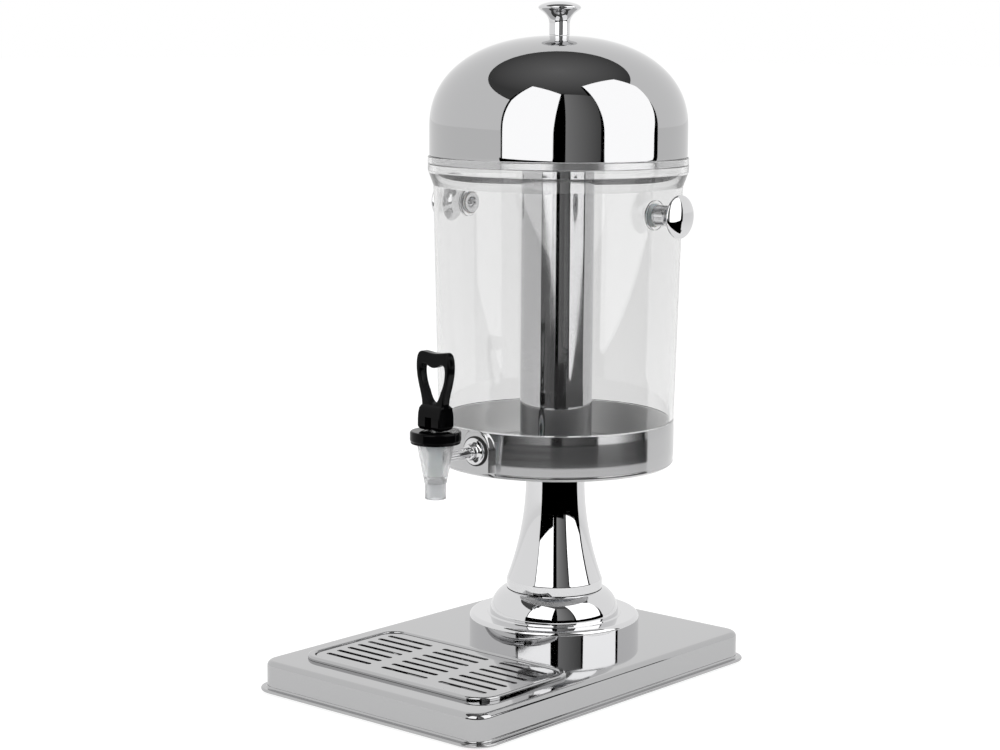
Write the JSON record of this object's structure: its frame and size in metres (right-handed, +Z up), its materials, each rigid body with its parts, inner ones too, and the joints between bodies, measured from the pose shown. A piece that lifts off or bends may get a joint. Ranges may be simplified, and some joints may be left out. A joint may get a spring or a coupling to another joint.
{
  "type": "juice dispenser",
  "caption": "Clear-vessel juice dispenser: domed lid with knob, ice tube, lever tap, steel cup on a turned pedestal, and a base with a drip tray and slotted grid.",
  "frame": {"origin": "on the table, under the middle of the base", "axes": "+Z up, -Y towards the tap side, +X to the right seen from the tap side"},
  "size_m": [0.2606, 0.35, 0.554],
  "materials": {
    "polished_steel": "mirror-polished stainless steel",
    "brushed_steel": "fine brushed round the cup",
    "zinc_steel": "plain zinc-plated steel",
    "clear_plastic": "clear polycarbonate",
    "frosted_plastic": "frosted light grey plastic",
    "black_plastic": "glossy black plastic",
    "white_silicone": "soft milky silicone",
    "white_plastic": "smooth white plastic",
    "black_rubber": "matt black rubber"
  },
  "bodies": {
    "base": {"base_cover": "polished_steel", "foot_rails": "zinc_steel", "rubber_feet": "black_rubber", "base_stiffener": "zinc_steel", "pedestal_foot": "polished_steel", "column": "polished_steel", "column_head": "zinc_steel", "seat_pad": "black_rubber", "tie_rod": "zinc_steel", "tie_washer": "zinc_steel", "tie_nut": "zinc_steel"},
    "drip_pan": {"drip_pan": "polished_steel"},
    "drip_grid": {"drip_grid": "polished_steel"},
    "juice_unit": {"cup": "brushed_steel", "floor_gasket": "white_silicone", "vessel": "clear_plastic", "handle_left": "polished_steel", "handle_right": "polished_steel", "handle_screws": "polished_steel", "handle_washers": "polished_steel", "handle_seals": "white_silicone", "ice_tube": "polished_steel", "ice_tube_seal": "white_silicone", "ice_tube_stud": "zinc_steel", "ice_tube_washer": "zinc_steel", "ice_tube_nut": "zinc_steel", "tap_washer": "black_rubber", "tap_shank": "polished_steel", "tap_inner_seal": "white_silicone", "tap_inner_nut": "white_plastic", "tap_body": "frosted_plastic", "tap_nozzle": "clear_plastic", "tap_bonnet": "black_plastic", "tap_seat_cup": "white_silicone"},
    "ice_cap": {"ice_cap": "white_plastic"},
    "lid": {"lid_dome": "polished_steel", "lid_ring": "polished_steel", "lid_knob": "polished_steel", "lid_knob_washer": "polished_steel", "lid_knob_screw": "polished_steel"},
    "tap_stem": {"tap_stem": "polished_steel", "tap_pin": "polished_steel"},
    "tap_handle": {"tap_handle": "black_plastic"}
  },
  "joints": [
    {"name": "drip_pan_lift", "type": "slide", "parent": "base", "child": "drip_pan", "axis": [0, 0, 1], "range_m": [0, 0.05]},
    {"name": "drip_grid_lift", "type": "slide", "parent": "drip_pan", "child": "drip_grid", "axis": [0, 0, 1], "range_m": [0, 0.04]},
    {"name": "juice_unit_lift", "type": "slide", "parent": "base", "child": "juice_unit", "axis": [0, 0, 1], "range_m": [0, 0.06]},
    {"name": "ice_cap_lift", "type": "slide", "parent": "juice_unit", "child": "ice_cap", "axis": [0, 0, 1], "range_m": [0, 0.04]},
    {"name": "lid_lift", "type": "slide", "parent": "juice_unit", "child": "lid", "axis": [0, 0, 1], "range_m": [0, 0.13]},
    {"name": "tap_stem_lift", "type": "slide", "parent": "juice_unit", "child": "tap_stem", "axis": [0, 0, 1], "range_m": [0, 0.0036], "deforming": ["tap_seat_cup"]},
    {"name": "tap_lever", "type": "hinge", "parent": "tap_stem", "child": "tap_handle", "pos_m": [0, -0.0886, 0.2232], "axis": [1, 0, 0], "range_deg": [0, 60], "stiffness_Nm_per_rad": 0.2, "springref_deg": -11.46}
  ],
  "couplings": [
    {"joint": "tap_stem_lift", "follows": "tap_lever", "m_per_rad": 0.0033}
  ]
}
